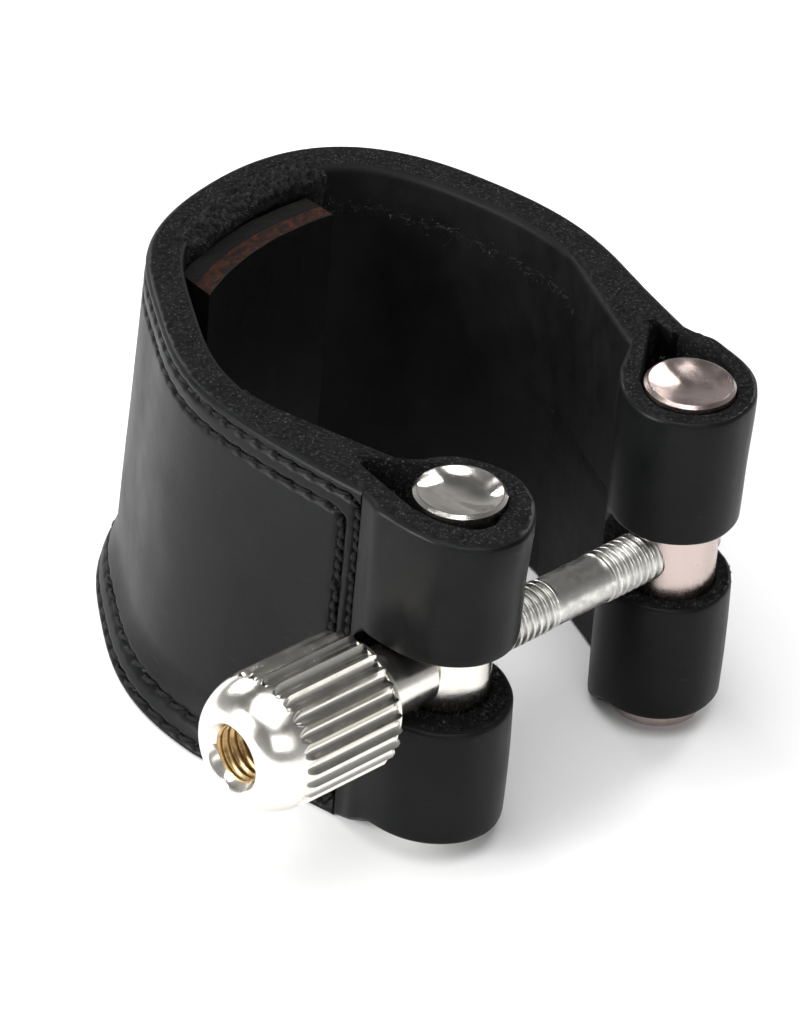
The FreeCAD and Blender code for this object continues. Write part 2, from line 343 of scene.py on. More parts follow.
class Look:
    """A procedural material: a Principled shader with textures in millimetres of the object's own space."""

    def __init__(self, name, **values):
        self.material = bpy.data.materials.new(name)
        self.material.use_nodes = True
        self.tree = self.material.node_tree
        self.shader = self.tree.nodes["Principled BSDF"]
        for key, value in values.items():
            self.shader.inputs[key.replace("_", " ")].default_value = value
        self.where = self.tree.nodes.new("ShaderNodeTexCoord").outputs["Object"]

    def node(self, kind, inputs=(), **settings):
        made = self.tree.nodes.new(kind)
        for key, value in settings.items():
            setattr(made, key, value)
        for key, value in dict(inputs).items():
            if isinstance(value, bpy.types.NodeSocket):
                self.tree.links.new(value, made.inputs[key])
            else:
                made.inputs[key].default_value = value
        return made

    def mapped(self, size):
        """Coordinates in which one unit is size millimetres, one number or one for each axis."""
        scale = list(1 / (np.broadcast_to(size, (3,)) * MM))
        return self.node("ShaderNodeVectorMath", {0: self.where, 1: scale}, operation="MULTIPLY").outputs[0]

    def noise(self, size, detail=3.0, rough=0.55, distort=0.0):
        made = self.node("ShaderNodeTexNoise", {"Vector": self.mapped(size), "Scale": 1.0, "Detail": detail,
                                                "Roughness": rough, "Distortion": distort})
        return made.outputs["Fac"]

    def cells(self, size, wobble=None):
        where = self.mapped(size)
        if wobble is not None:
            where = self.node("ShaderNodeVectorMath", {0: where, 1: wobble}, operation="ADD").outputs[0]
        return self.node("ShaderNodeTexVoronoi", {"Vector": where, "Scale": 1.0}).outputs["Distance"]

    def ramp(self, factor, low, high, start, end):
        """The factor's range low to high mapped onto start to end, numbers or colours."""
        if isinstance(start, tuple):
            share = self.ramp(factor, low, high, 0.0, 1.0)
            made = self.node("ShaderNodeMix", data_type="RGBA")
            made.inputs[6].default_value = (*start, 1)
            made.inputs[7].default_value = (*end, 1)
            self.tree.links.new(share, made.inputs[0])
            return made.outputs[2]
        made = self.node("ShaderNodeMapRange", {"Value": factor, "From Min": low, "From Max": high,
                                                "To Min": start, "To Max": end})
        return made.outputs["Result"]

    def mix(self, factor, first, second):
        made = self.node("ShaderNodeMix", data_type="RGBA")
        for index, value in ((0, factor), (6, first), (7, second)):
            if isinstance(value, bpy.types.NodeSocket):
                self.tree.links.new(value, made.inputs[index])
            else:
                made.inputs[index].default_value = value if index == 0 else (*value, 1)
        return made.outputs[2]

    def facing_up(self, height):
        """The height on faces that look upwards, a level value elsewhere."""
        normal = self.node("ShaderNodeNewGeometry", {}).outputs["True Normal"]
        up = self.node("ShaderNodeSeparateXYZ", {"Vector": normal}).outputs["Z"]
        return self.mix(self.ramp(up, 0.80, 0.90, 0.0, 1.0), (0.5, 0.5, 0.5), height)

    def bump(self, *heights):
        """Stacks bump maps, given as pairs of height and depth in millimetres."""
        normal = None
        for height, depth in heights:
            made = self.node("ShaderNodeBump", {"Height": height, "Distance": depth * MM, "Strength": 1.0})
            if normal is not None:
                self.tree.links.new(normal, made.inputs["Normal"])
            normal = made.outputs["Normal"]
        self.tree.links.new(normal, self.shader.inputs["Normal"])

    def set(self, **sockets):
        for key, value in sockets.items():
            self.tree.links.new(value, self.shader.inputs[key.replace("_", " ")])
        return self.material


def smooth_leather(name, tone=(0.0030, 0.0032, 0.0032), gloss=0.40):
    """Black calf with a fine grain, a soft gloss and faint scuffs."""
    look = Look(name, Specular_IOR_Level=0.115)
    pores = look.cells(0.28, wobble=look.noise(0.9, 2.0))
    fine = look.noise(0.12, 4.0, 0.6)
    slow = look.noise(3.5, 3.0, 0.5)
    scuffs = look.noise((2.4, 2.4, 0.35), 5.0, 0.7, 0.6)
    dust = look.noise(0.16, 2.0, 0.5)
    base = look.ramp(slow, 0.35, 0.7, tone, tuple(1.7 * c for c in tone))
    worn = look.ramp(scuffs, 0.62, 0.78, 0.0, 0.55)
    coloured = look.mix(worn, base, (0.035, 0.035, 0.034))
    specks = look.ramp(dust, 0.79, 0.83, 0.0, 0.5)
    look.bump((slow, 0.006), (pores, 0.004), (fine, 0.003))
    return look.set(Base_Color=look.mix(specks, coloured, (0.10, 0.10, 0.095)),
                    Roughness=look.ramp(slow, 0.3, 0.75, gloss - 0.03, gloss + 0.08))


def cut_edge(name, fibre=(0.030, 0.031, 0.031)):
    """The cut, dyed edge of leather: matte, fibrous and speckled."""
    look = Look(name, Roughness=0.85, Specular_IOR_Level=0.10)
    flecks = look.noise(0.26, 5.0, 0.7)
    slow = look.noise(1.6, 3.0, 0.6)
    strands = look.noise((0.5, 0.5, 0.09), 4.0, 0.7, 1.2)
    base = look.ramp(slow, 0.3, 0.7, (0.002, 0.002, 0.0022), (0.007, 0.007, 0.0074))
    fuzz = look.mix(look.ramp(flecks, 0.53, 0.66, 0.0, 0.9), base, fibre)
    grit = look.cells(0.30)
    look.bump((slow, 0.10), (strands, 0.08), (flecks, 0.14))
    return look.set(Base_Color=look.mix(look.ramp(grit, 0.24, 0.06, 0.0, 0.6), fuzz, (0.10, 0.10, 0.098)))


# Also used on the loops' tails inside the band, where its darker look is painted shade.
def lining_leather_and_tail_shade():
    """The inner face: very dark and smooth, rubbed to a dull gloss."""
    look = Look("lining_leather_and_tail_shade", Specular_IOR_Level=0.11)
    rubbed = look.noise((2.5, 2.5, 3.5), 4.0, 0.6, 0.3)
    fine = look.noise(0.14, 4.0, 0.65)
    look.bump((look.noise(4.0, 2.0), 0.12), (rubbed, 0.02), (fine, 0.010))
    return look.set(Base_Color=look.ramp(rubbed, 0.3, 0.75, (0.002, 0.002, 0.0022), (0.006, 0.006, 0.0065)),
                    Roughness=look.ramp(rubbed, 0.3, 0.7, 0.50, 0.60))


def suede():
    look = Look("suede", Roughness=0.95, Specular_IOR_Level=0.10, Sheen_Weight=0.06, Sheen_Roughness=0.5)
    nap = look.noise(0.35, 6.0, 0.75, 0.8)
    look.bump((look.noise(1.3, 3.0), 0.25), (nap, 0.16))
    return look.set(Base_Color=look.ramp(nap, 0.35, 0.72, (0.0010, 0.0010, 0.0010), (0.012, 0.012, 0.0118)))


def waxed_thread():
    look = Look("black_thread", Specular_IOR_Level=0.13)
    strands = look.noise(0.11, 4.0, 0.7, 1.5)
    look.bump((strands, 0.05))
    shade = look.ramp(strands, 0.45, 0.75, (0.0025, 0.0025, 0.0025), (0.0175, 0.0175, 0.0175))
    return look.set(Base_Color=shade, Roughness=look.ramp(strands, 0.3, 0.7, 0.45, 0.75))


def fibre_look():
    look = Look("fibres", Roughness=0.8, Specular_IOR_Level=0.3)
    tint = look.noise(0.45, 3.0)
    return look.set(Base_Color=look.ramp(tint, 0.55, 0.72, (0.006, 0.006, 0.006), (0.20, 0.195, 0.19)))


def plated(name, tone, turned_along, gloss=0.12, grime=0.35, dents=0.0):
    """Plated metal: turning marks round one axis, hairline scratches, dull patches and a dented top face."""
    look = Look(name, Metallic=1.0)
    size = [2.5, 2.5, 2.5]
    size[turned_along] = 0.045
    turning = look.noise(size, 3.0, 0.6)
    patches = look.noise(1.7, 4.0, 0.6, 0.4)
    hairs = look.noise((0.9, 0.06, 0.5), 3.0, 0.6, 1.5)
    dark = tuple(c * 0.55 for c in tone)
    look.bump((look.facing_up(look.noise(2.9, 0.0, 0.4, 0.2)), dents), (patches, 0.012), (turning, 0.0035),
              (hairs, 0.0015))
    stained = look.mix(look.ramp(patches, 0.60, 0.75, 0.0, grime), tone, dark)
    return look.set(Base_Color=stained, Roughness=look.ramp(patches, 0.3, 0.75, gloss, gloss + 0.17))


def dull_steel():
    look = Look("stud_steel", Metallic=1.0)
    patches = look.noise(0.9, 5.0, 0.65, 0.5)
    marks = look.noise((0.05, 1.6, 1.6), 3.0, 0.6)
    look.bump((marks, 0.004), (patches, 0.01))
    return look.set(Base_Color=look.ramp(patches, 0.35, 0.72, (0.74, 0.73, 0.70), (0.45, 0.44, 0.41)),
                    Roughness=look.ramp(patches, 0.3, 0.7, 0.24, 0.42))


def brass_bore():
    look = Look("tapped_brass", Metallic=1.0)
    patches = look.noise(0.5, 4.0, 0.6)
    look.bump((patches, 0.01))
    return look.set(Base_Color=look.ramp(patches, 0.4, 0.7, (0.62, 0.44, 0.22), (0.26, 0.17, 0.08)),
                    Roughness=look.ramp(patches, 0.3, 0.7, 0.25, 0.45))


def plate_core(name, light, dark, streak):
    """Layered core of the plate: long streaks along its curve."""
    look = Look(name, Roughness=0.80, Specular_IOR_Level=0.12)
    streaks = look.noise((1.4, 0.7, 0.3), 5.0, 0.75, 0.6)
    specks = look.noise(0.2, 4.0, 0.7)
    look.bump((streaks, 0.08), (specks, 0.06))
    mottle = look.noise(0.5, 5.0, 0.8)
    streaked = look.ramp(streaks, 0.32, 0.62, dark, light)
    base = look.mix(look.ramp(mottle, 0.44, 0.56, 0.9, 0.0), streaked, dark)
    return look.set(Base_Color=look.mix(look.ramp(specks, 0.62, 0.75, 0.0, 0.6), base, streak))


# The black facing of the plate; the same look also paints the plate's end faces black as painted shade.
def black_facing_and_end_shade():
    look = Look("plate_facing_and_painted_end_shade", Specular_IOR_Level=0.14)
    fine = look.noise(0.3, 4.0, 0.6)
    look.bump((look.noise(3.0, 2.0), 0.05), (fine, 0.008))
    return look.set(Base_Color=look.ramp(fine, 0.4, 0.7, (0.003, 0.003, 0.003), (0.006, 0.006, 0.0065)),
                    Roughness=look.ramp(fine, 0.3, 0.7, 0.45, 0.60))


COVER_LEATHER = smooth_leather("cover_leather")
LOOP_LEATHER = smooth_leather("loop_leather", (0.0034, 0.0036, 0.0036), 0.38)
RIM = cut_edge("cut_edge")
LOOP_RIM = cut_edge("loop_cut_edge", (0.026, 0.026, 0.026))
LINING_AND_TAIL_SHADE = lining_leather_and_tail_shade()
SUEDE = suede()
STITCH = waxed_thread()
FIBRE = fibre_look()
NICKEL = plated("nickel_nut", (0.80, 0.775, 0.715), 0, 0.12)
PIN_NICKEL = plated("nickel_pin", (0.80, 0.77, 0.72), 2, 0.07, dents=0.8)
FAR_NICKEL = plated("warm_nickel_pin", (0.56, 0.46, 0.43), 2, 0.16, 0.8, 0.8)
STEEL = dull_steel()
BRASS = brass_bore()


# ---------------------------------------------------------------- stitching

def row_path(end, low, high, corner, reach):
    """One row on half of the band, as (distance from the end, height) points: top, end, bottom."""
    turns = np.radians(np.arange(0, 91, 7.5))
    top = np.stack((end + corner - corner * np.sin(turns), high - corner + corner * np.cos(turns)), 1)
    bottom = top[::-1] * (1, -1) + (0, low + high)
    return np.concatenate(([[reach, high]], top, bottom, [[reach, low]]))


def walk(path):
    """Stitch holes along a path, closer together where it runs upright."""
    steps = np.diff(path, axis=0)
    pitch = np.where(np.abs(steps[:, 1]) > np.abs(steps[:, 0]), END_PITCH, PITCH)
    counted = np.concatenate(([0], np.cumsum(np.linalg.norm(steps, axis=1) / pitch)))
    at = np.linspace(0, counted[-1], int(round(counted[-1])) + 1)
    return np.stack([np.interp(at, counted, path[:, i]) for i in (0, 1)], 1)


def seam_reach(side):
    return float(from_end(side, SEAM))


def cover_rows(side):
    past = COVER_PAST[side]
    return [walk(row_path(end - past, *row, seam_reach(side))) for end, *row in ROWS]


def lining_rows(side):
    start, reach = 5.0, seam_reach(side)
    return [walk(np.array([[reach, z], [start, z]])) for z in LINING_ROWS]


def stitch(start, end, side, depth, lift, loose):
    """One stitch between two holes: a short twisted yarn that dives at both ends."""
    along = end - start
    length = np.linalg.norm(along)
    along = along / length
    across = np.array((-along[1], along[0]))
    t = np.linspace(0, 1, 13)[:, None]
    turn = np.linspace(0, 2 * math.pi, 10, endpoint=False)[None, :]
    upright = abs(along[1]) > abs(along[0])
    slant = 0.10 + random.normal(0, 0.03 + 0.05 * loose)
    arch = np.sin(math.pi * t)
    twist = 1 + 0.13 * np.cos(2 * turn - 2 * math.pi * 2.2 * t)
    yarn = THREAD * (1.5 if upright else 1.0) * (0.35 + 0.65 * arch ** 0.45) * twist
    u = (t * 0.98 + 0.01) * length + 0 * turn
    v = yarn * np.cos(turn) * 1.05 + slant * np.cos(math.pi * t) + random.normal(0, 0.02 + 0.06 * loose)
    rise = -0.36 + (0.20 + lift + abs(random.normal(0, 0.04 + 0.06 * loose))) * arch ** 0.6
    w = rise + yarn * np.sin(turn) * 0.8
    flat = start + along * u[..., None] + across * v[..., None]
    away = -1 if depth == 0 else 1
    return wall_point(angle_at(side, flat[..., 0]), flat[..., 1], depth + away * w)


def stitching(name, side, rows, depth, lift, loose, nodes):
    pieces = [stitch(a, b, side, depth, lift, loose) for row in rows for a, b in zip(row[:-1], row[1:])]
    points, faces = many(pieces)
    thing = make_object(name, points, faces, [STITCH], sharp=80)
    return half_of_band(thing, nodes)


def stitch_relief(side, distance, z):
    """How far the stitching pulls the outer face in: channels along the rows and a pit at each hole."""
    sink = np.zeros(np.broadcast(distance, z).shape)
    for (end, low, high, corner), holes in zip(ROWS, cover_rows(side)):
        over = end - COVER_PAST[side] + corner - distance
        up = np.maximum(z - (high - corner), low + corner - z)
        off = np.hypot(np.maximum(over, 0), np.maximum(up, 0)) + np.minimum(np.maximum(over, up), 0) - corner
        sink += CHANNEL * np.exp(-(off / np.where(over > up, UPRIGHT_CHANNEL_WIDTH, CHANNEL_WIDTH)) ** 2)
        for hole in holes:
            near = (distance - hole[0]) ** 2 + (z - hole[1]) ** 2
            sink += PIT * np.exp(-near / PIT_WIDTH ** 2)
    return np.minimum(sink, DEEPEST)


# ---------------------------------------------------------------- leather band

def half_of_band(thing, nodes):
    """Bakes a piece of half of the band into world space and hides the CAD nodes that it replaces."""
    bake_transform(thing)
    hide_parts(*nodes)
    return thing


def band_stations(side, back):
    """Distances of the cross-sections from a ply's end, closer together there; the ply starts back."""
    reach = seam_reach(side) - back
    edge = END_EDGE[side]
    close = edge * (1 - np.cos(np.radians(np.arange(0, 90, 18))))
    dense = np.arange(edge, 3.0, 0.13)
    return np.concatenate((close, dense, np.linspace(3.1, reach, int(reach / STATION))))


def ply(name, side, outer, inner, corners, looks, nodes, back=0.0, relief=False):
    """One leather ply of half of the band, with a rounded end."""
    distance = band_stations(side, back)
    angles = angle_at(side, distance + back)
    depth, z, zones = section(outer, inner, 0.0, HEIGHT, corners[0], corners[1], 0.25, 3.0 if relief else 0.0)
    edge = END_EDGE[side]
    inset = edge - np.sqrt(np.maximum(0, edge ** 2 - np.maximum(0, edge - distance) ** 2))
    depth = np.clip(depth[None, :], outer + inset[:, None], inner - inset[:, None])
    z = np.clip(z[None, :], inset[:, None], HEIGHT - inset[:, None])
    depth, z = np.array(depth), np.array(z)
    if relief:
        face = np.abs(depth - outer) < END_EDGE[side]
        pulled = stitch_relief(side, distance[:, None] + back + 0 * z, z)
        depth += np.where(face, pulled, 0)
    points = wall_point(angles[:, None] + 0 * z, z, depth)
    points += rough_edge(points, angles, zones)
    faces, kinds = tube(points, zones, True, 1)
    thing = make_object(name, points, faces, looks, kinds, sharp=60)
    return half_of_band(thing, nodes)


def rough_edge(points, angles, zones):
    """Slow waves over the whole ply and a rough texture on its cut edges."""
    out = np.concatenate((outward(angles), np.zeros((len(angles), 1))), 1)[:, None, :]
    waves = grain(points, 6.0, 0.03)[..., None] * out
    cut = (zones == 1)[None, :, None]
    lift = grain(points, 0.4, 0.13, 3.0)[..., None] * np.array((0, 0, 1.0))
    return waves + np.where(cut, lift, 0)


def band():
    for side in SIDES:
        names = [side] + (["back"] if side == "near" else [])
        ply("cover_%s_half" % side, side, 0.0, COVER, (EDGE, 0.02), [COVER_LEATHER, RIM, RIM],
            ["cover_" + n for n in names], back=-COVER_PAST[side], relief=True)
        ply("strap_%s_half" % side, side, COVER, WALL, (0.02, EDGE), [RIM, RIM, LINING_AND_TAIL_SHADE],
            ["strap_" + n for n in names], back=STRAP_BACK)
        stitching("cover_stitching_" + side, side, cover_rows(side), 0, 0.0, 0.5,
                  ["cover_thread_" + n for n in names])
        stitching("lining_stitching_" + side, side, lining_rows(side), WALL, 0.05, 1.0,
                  ["lining_thread_" + side])


# ---------------------------------------------------------------- loops

def loop_outlines(side, z, low, high):
    """A loop's outer and inner curves at heights z: under the cover's end, then round the pin."""
    turn, centre, end = SIDES[side], PIN_AXES[side], ENDS[side]
    way, top_edge, below = np.array(RINGS[side], float).T
    flared = smooth((z - (high - 6.0)) / 6.0) if high > HEIGHT / 2 else 0 * z

    def wall(back, depth):
        return wall_point(end - turn * back, z, depth)[..., :2]

    def ring(direction, distance):
        return centre + np.array((math.cos(direction), math.sin(direction))) * distance[:, None]

    past = math.degrees(COVER_PAST[side] / MEAN_RADIUS)
    under = np.array([wall(back, COVER) for back in np.linspace(9.0, -past, 9)])
    beneath = [wall(back, SPLIT_DEPTH[side]) for back in np.linspace(14.0, SPLIT_BACK, 9)]
    under = np.concatenate((under, beneath), 2)
    outer, inner = [wall(-past - 0.01, 0.0)], [wall(SPLIT_BACK, SPLIT_DEPTH[side])]
    hole_entry, hole_exit = math.radians(way[0] + turn * 14), math.radians(way[-1] - turn * 22)
    order = np.argsort(way)
    flush = np.linalg.norm(wall(-past - 1.0, 0.0) - centre, axis=1)
    for t in np.linspace(0, 1, 73):
        direction = way[0] + (way[-1] - way[0]) * t
        near_top = np.interp(direction, way[order], top_edge[order])
        lower = np.interp(direction, way[order], below[order])
        distance = lower + (near_top - lower) * flared + 0.08 * np.sin(math.pi * (z - low) / (high - low))
        distance = distance + (flush - distance) * smooth(1 - t / 0.07)
        outer.append(ring(math.radians(direction), distance))
        thick = RING_THICKNESS[side] + (NECK_THICKNESS[side] - RING_THICKNESS[side]) * smooth(1 - t / 0.25)
        hole = hole_entry + (hole_exit - hole_entry) * t
        inner.append(ring(hole, np.maximum(PIN_RADIUS + 0.06, distance - thick)))
    inner.append(ring(hole_exit, 0 * z + PIN_RADIUS + 0.3))
    outer.append(0.5 * (outer[-1] + wall(0.0, WALL + TAIL_THICKNESS[side])))
    for t in np.linspace(0, 1, 26):
        outer.append(wall(TAIL_SPAN * t, WALL + 0.02 + TAIL_THICKNESS[side] * (1 - t) ** 1.3))
        inner.append(wall(SPLIT_BACK + TAIL_SPAN * 0.9 * t, SPLIT_DEPTH[side] + 0.02))
    return under, soften(resample(np.concatenate((outer, inner), 2), 220))


def resample(rows, count):
    """Evenly spaced stations along a strip, from curves given at uneven ones."""
    middle = rows[:, :, :2].mean(1)
    lengths = np.concatenate(([0], np.cumsum(np.linalg.norm(np.diff(middle, axis=0), axis=1))))
    at = np.linspace(0, lengths[-1], count)
    low = np.clip(np.searchsorted(lengths, at, side="right") - 1, 0, len(lengths) - 2)
    share = ((at - lengths[low]) / np.maximum(lengths[low + 1] - lengths[low], 1e-9))[:, None, None]
    return rows[low] * (1 - share) + rows[low + 1] * share


def loop_shape(side, level, share, z, low, high, flat):
    """A loop's points: in the band it widens to the band's edge, and closes square against its neighbour."""
    behind = flat[:, :, 1].mean(1) - PIN_AXES[side][1]
    rim, slit = smooth((behind - 0.3) / 4.0)[:, None], smooth((behind - 2.4) / 2.2)[:, None]
    middle = (LOOPS[("lower", side)][1][2] + LOOPS[("upper", side)][0][2]) / 2
    inside, outside = (high, low) if level == "lower" else (low, high)
    rim_edge = 0.0 if level == "lower" else HEIGHT
    near_slit = (np.abs(z - inside) < 0.33)[None, :] * slit * 0.96
    squared = share + (np.round(share) - share) * near_slit * (np.minimum(share, 1 - share) < 0.22)
    up = z + (inside - z) * near_slit
    new_inside, new_outside = inside + (middle - inside) * slit, outside + (rim_edge - outside) * rim
    up = new_outside + (up - outside) / (inside - outside) * (new_inside - new_outside)
    outer, inner = flat[..., :2], flat[..., 2:]
    flat = outer + (inner - outer) * squared[..., None]
    return np.concatenate((flat, up[..., None]), 2), 1 - near_slit


def loop(level, side):
    low_corner, high_corner = LOOPS[(level, side)]
    low, high = low_corner[2], high_corner[2]
    share, z, zones = rounded_share(low, high)
    under, free = loop_outlines(side, z, low, high)
    points, loose = loop_shape(side, level, share, z, low, high, np.concatenate((under, free)))
    cut = (zones == 1)[None, :]
    points[..., 2] += np.where(cut, grain(points, 0.35, 0.16, 5.0), 0) * loose
    points[..., 2] += grain(points, 5.0, 0.08, 8.0)
    faces, kinds = tube(points, zones, True, 1)
    kinds = np.array(kinds)
    station = np.arange(len(kinds)) // len(z)
    # Past the ring, the tail's outer face inside the band takes the darker lining look: painted shade.
    past_ring = len(under) + int(0.58 * len(free))
    kinds[(station > past_ring) & (kinds == 0)] = 3
    looks = [LOOP_LEATHER, RIM, LOOP_RIM, LINING_AND_TAIL_SHADE]
    thing = make_object("%s_loop_%s_leather" % (level, side), points, faces, looks, kinds)
    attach(thing, side + "_side")
    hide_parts("%s_loop_%s" % (level, side))
    return thing


def rounded_share(low, high):
    """A loop's cross-section: the share of its thickness, height and zone of each point."""
    thick = 1.5
    depth, z, zones = section(0.0, thick, low, high, 0.32, 0.2, 0.55)
    return depth / thick, z, zones


def soften(points):
    """Rounds the strip's sudden bends, leaving its two ends in place."""
    for _ in range(5):
        points[1:-1] = 0.25 * points[:-2] + 0.5 * points[1:-1] + 0.25 * points[2:]
    return points


# ---------------------------------------------------------------- metal

def lathe(name, rings, looks, zones=None, sharp=40):
    """A turned part about the screw's axis, from rings of (x, radius, turn) values, closed into a torus."""
    x, radius, turn = rings
    points = np.stack((x, SCREW_Y + radius * np.cos(turn), SCREW_Z + radius * np.sin(turn)), -1)
    faces, kinds = tube(points, 0, False)
    if zones is not None:
        kinds = np.repeat(zones, points.shape[1])
    return make_object(name, points, faces, looks, kinds, sharp)


def arc_profile(x, radius, size, start, end, steps=5):
    turns = np.radians(np.linspace(start, end, steps))
    return [(x + size * math.cos(t), radius + size * math.sin(t)) for t in turns]


def thread_profile(x, turn, crest, depth):
    """Radius of a V thread with narrow crests and rounded roots."""
    phase = (x / SCREW_PITCH - turn / (2 * math.pi)) % 1.0
    ramp = np.abs(phase * 2 - 1)
    return crest - depth * smooth(1.08 - ramp * 1.25)


def stud():
    low, high = STUD_LOW[0], STUD_HIGH[0]
    x = np.concatenate((np.arange(low, SHANK[0] - 0.02, 0.05), np.arange(SHANK[0], SHANK[1], 0.25),
                        np.arange(SHANK[1], high, 0.05)))[:, None]
    turn = np.linspace(0, 2 * math.pi, 48, endpoint=False)[None, :]
    x = x + 0 * turn
    thread = thread_profile(x, turn, STUD_RADIUS, THREAD_DEPTH)
    into = smooth((SHANK[0] - x) / 0.5) + smooth((x - SHANK[1]) / 0.5)
    collar = 0.05 * np.exp(-((x - SHANK[1] - 0.15) / 0.12) ** 2)
    radius = SHANK_RADIUS + (thread - SHANK_RADIUS) * into + collar
    chamfer = np.minimum(1.0, 0.72 + (x - low) / 1.4)
    radius = radius * chamfer
    points = np.stack((x, SCREW_Y + radius * np.cos(turn), SCREW_Z + radius * np.sin(turn)), -1)
    faces, kinds = tube(points, 0, True, 0)
    thing = make_object("threaded_stud", points, faces, [STEEL], kinds, sharp=70)
    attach(thing, "far_pin_and_stud")
    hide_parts("stud")


def bush():
    back, seat = BUSH_LOW[0], BUSH_HIGH[0]
    flange, neck, bore = (BUSH_HIGH[2] - BUSH_LOW[2]) / 2, 2.4, 1.85
    thick, r = 0.65, 0.12
    profile = [(back, bore)] + arc_profile(back + r, flange - r, r, 180, 90)
    profile += arc_profile(back + thick - r, flange - r, r, 90, 0)
    profile += arc_profile(back + thick + 0.35, neck + 0.35, 0.35, 180, 270)
    profile += arc_profile(seat - 0.1, neck - 0.1, 0.1, 90, 0) + [(seat, bore)]
    profile = np.array(profile)
    turn = np.linspace(0, 2 * math.pi, 96, endpoint=False)[None, :]
    rings = (profile[:, :1] + 0 * turn, profile[:, 1:] + 0 * turn, turn + 0 * profile[:, :1])
    thing = lathe("bush_turned", rings, [NICKEL], sharp=50)
    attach(thing, "bush")
    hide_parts("bush")


def thumb_nut():
    """A knob with flutes that run out into its dome, a countersunk end and a tapped bore."""
    back, end = NUT_HIGH[0], NUT_LOW[0]
    turn = np.linspace(0, 2 * math.pi, FLUTES * 24, endpoint=False)[None, :]
    barrel = np.linspace(back - 0.02, end + DOME, 20)[:-1]
    shoulder = np.linspace(end + DOME, end + DOME / 2, 26)[:-1]
    along = np.concatenate((barrel, shoulder, dome_stations(end, DOME / 2)))
    radii = dome_radii(end, DOME, along)
    radii[0] = NUT_RADIUS - 0.18
    outer = radii[:, None] - flute_depth(along[:, None], turn, end + DOME * 0.62)
    rows = list(zip(along, outer))
    rows += arc_profile(end + 0.14, NUT_FACE - 0.1, 0.14, 150, 190, 4)
    rows += [(end + 0.16, NUT_SINK - 0.12), (end + 0.6, NUT_BORE + 0.12)]
    zones = [0] * (len(rows) - 1)
    for x in np.arange(end + 0.66, STUD_LOW[0] + 1.0, 0.05):
        rows.append((x, 2 * NUT_BORE + 0.1 - thread_profile(x, turn[0], NUT_BORE + 0.1, 0.24)))
        zones.append(1)
    rows += [(STUD_LOW[0] + 1.05, NUT_BORE), (back, NUT_BORE), (back, NUT_RADIUS - 0.5)]
    zones += [1, 1, 0, 0]
    x = np.array([[row[0]] for row in rows]) + 0 * turn
    radius = np.array([row[1] + 0 * turn[0] for row in rows])
    thing = lathe("thumb_nut_fluted", (x, radius, turn + 0 * x), [NICKEL, BRASS], np.array(zones), sharp=55)
    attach(thing, "thumb_nut")
    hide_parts("thumb_nut")


def flute_depth(x, turn, stop):
    """Depth of the flutes: hollow grooves between narrow crests, each with a round end towards the dome."""
    off = 1 - np.abs((turn * FLUTES / math.pi + 1) % 2 - 1)
    half = np.sqrt(np.clip((x - stop) / 0.9, 1e-6, 1) * (2 - np.clip((x - stop) / 0.9, 1e-6, 1)))
    share = np.clip(off / half, 0, 1)
    return 0.40 * half ** 0.7 * (1 - share ** 2.2) * (x > stop)


def dome_stations(end, dome):
    return end + dome * (1 - np.sin(np.linspace(0, math.pi / 2, 20)))


def dome_radii(end, dome, x):
    """An elliptical dome from the knob's full radius down to its end face."""
    share = np.clip((end + dome - x) / dome, 0, 1)
    return 2.4 + (NUT_RADIUS - 2.4) * np.sqrt(np.maximum(0, 1 - share ** 2.2))


def pins():
    for side, look in (("near", PIN_NICKEL), ("far", FAR_NICKEL)):
        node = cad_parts[side + "_pin"]
        node.data.materials.clear()
        node.data.materials.append(look)


# ---------------------------------------------------------------- plate and pad

def plate():
    """Two bonded layers bent round the mouthpiece: a brown core with a black face, and a grey backing."""
    up = 90 + PLATE_TILT
    facing = np.array((math.cos(math.radians(up)), math.sin(math.radians(up))))
    centre = PLATE_FRONT - facing * PLATE_RADIUS
    brown = plate_core("plate_brown_core", (0.050, 0.014, 0.006), (0.004, 0.003, 0.0025),
                       (0.12, 0.040, 0.015))
    grey = plate_core("plate_grey_core", (0.0065, 0.0055, 0.005), (0.0025, 0.0025, 0.0024),
                      (0.022, 0.016, 0.012))
    black = black_facing_and_end_shade()
    # The fourth look of each layer colours its two end faces black: painted shade.
    looks = {"face": [black, brown, brown, black], "backing": [grey, grey, grey, black]}
    for name, front, back in (("face", *PLATE_LAYERS[:2]), ("backing", *PLATE_LAYERS[1:])):
        depth, z, zones = section(front, back, *PLATE_SPAN, 0.07, 0.04, 0.8)
        far = PLATE_SLANT["far"] * depth - PLATE_HALF_ANGLE
        near = PLATE_HALF_ANGLE - PLATE_SLANT["near"] * depth
        share = np.linspace(0, 1, 49)[:, None]
        turn = np.radians(up + far + (near - far) * share)
        flat = centre + np.stack((np.cos(turn), np.sin(turn)), -1) * (PLATE_RADIUS + depth)[None, :, None]
        points = np.concatenate((flat, np.broadcast_to(z[None, :, None], flat.shape[:2] + (1,))), 2)
        points += grain(points, 2.0, 0.05, 9.0)[..., None]
        # Cap zone 3 gives both end faces the black look, as painted shade.
        faces, kinds = tube(points, zones, True, 3)
        thing = make_object("pressure_plate_" + name, points, faces, looks[name], kinds, sharp=50)
        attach(thing, "pressure_plate")
        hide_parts("plate_" + name)


def pad_ends(angle):
    start, end = PAD[:2]
    return smooth((angle - start) / 7.0) * smooth((end - angle) / 9.0)


def pad_depths(angle, z):
    """Depths of the pad's two faces: at the top it spreads over the strap's edge and towards the plate."""
    high, thick = PAD[3:]
    collar = pad_ends(angle) * smooth((z - high + 1.3) / 0.8)
    front = WALL - 0.1 + (thick + 0.1) * pad_ends(angle) + 0.45 * collar
    return WALL - 0.15 - 0.85 * pad_ends(angle) * smooth((z - HEIGHT + 0.25) / 0.15), front


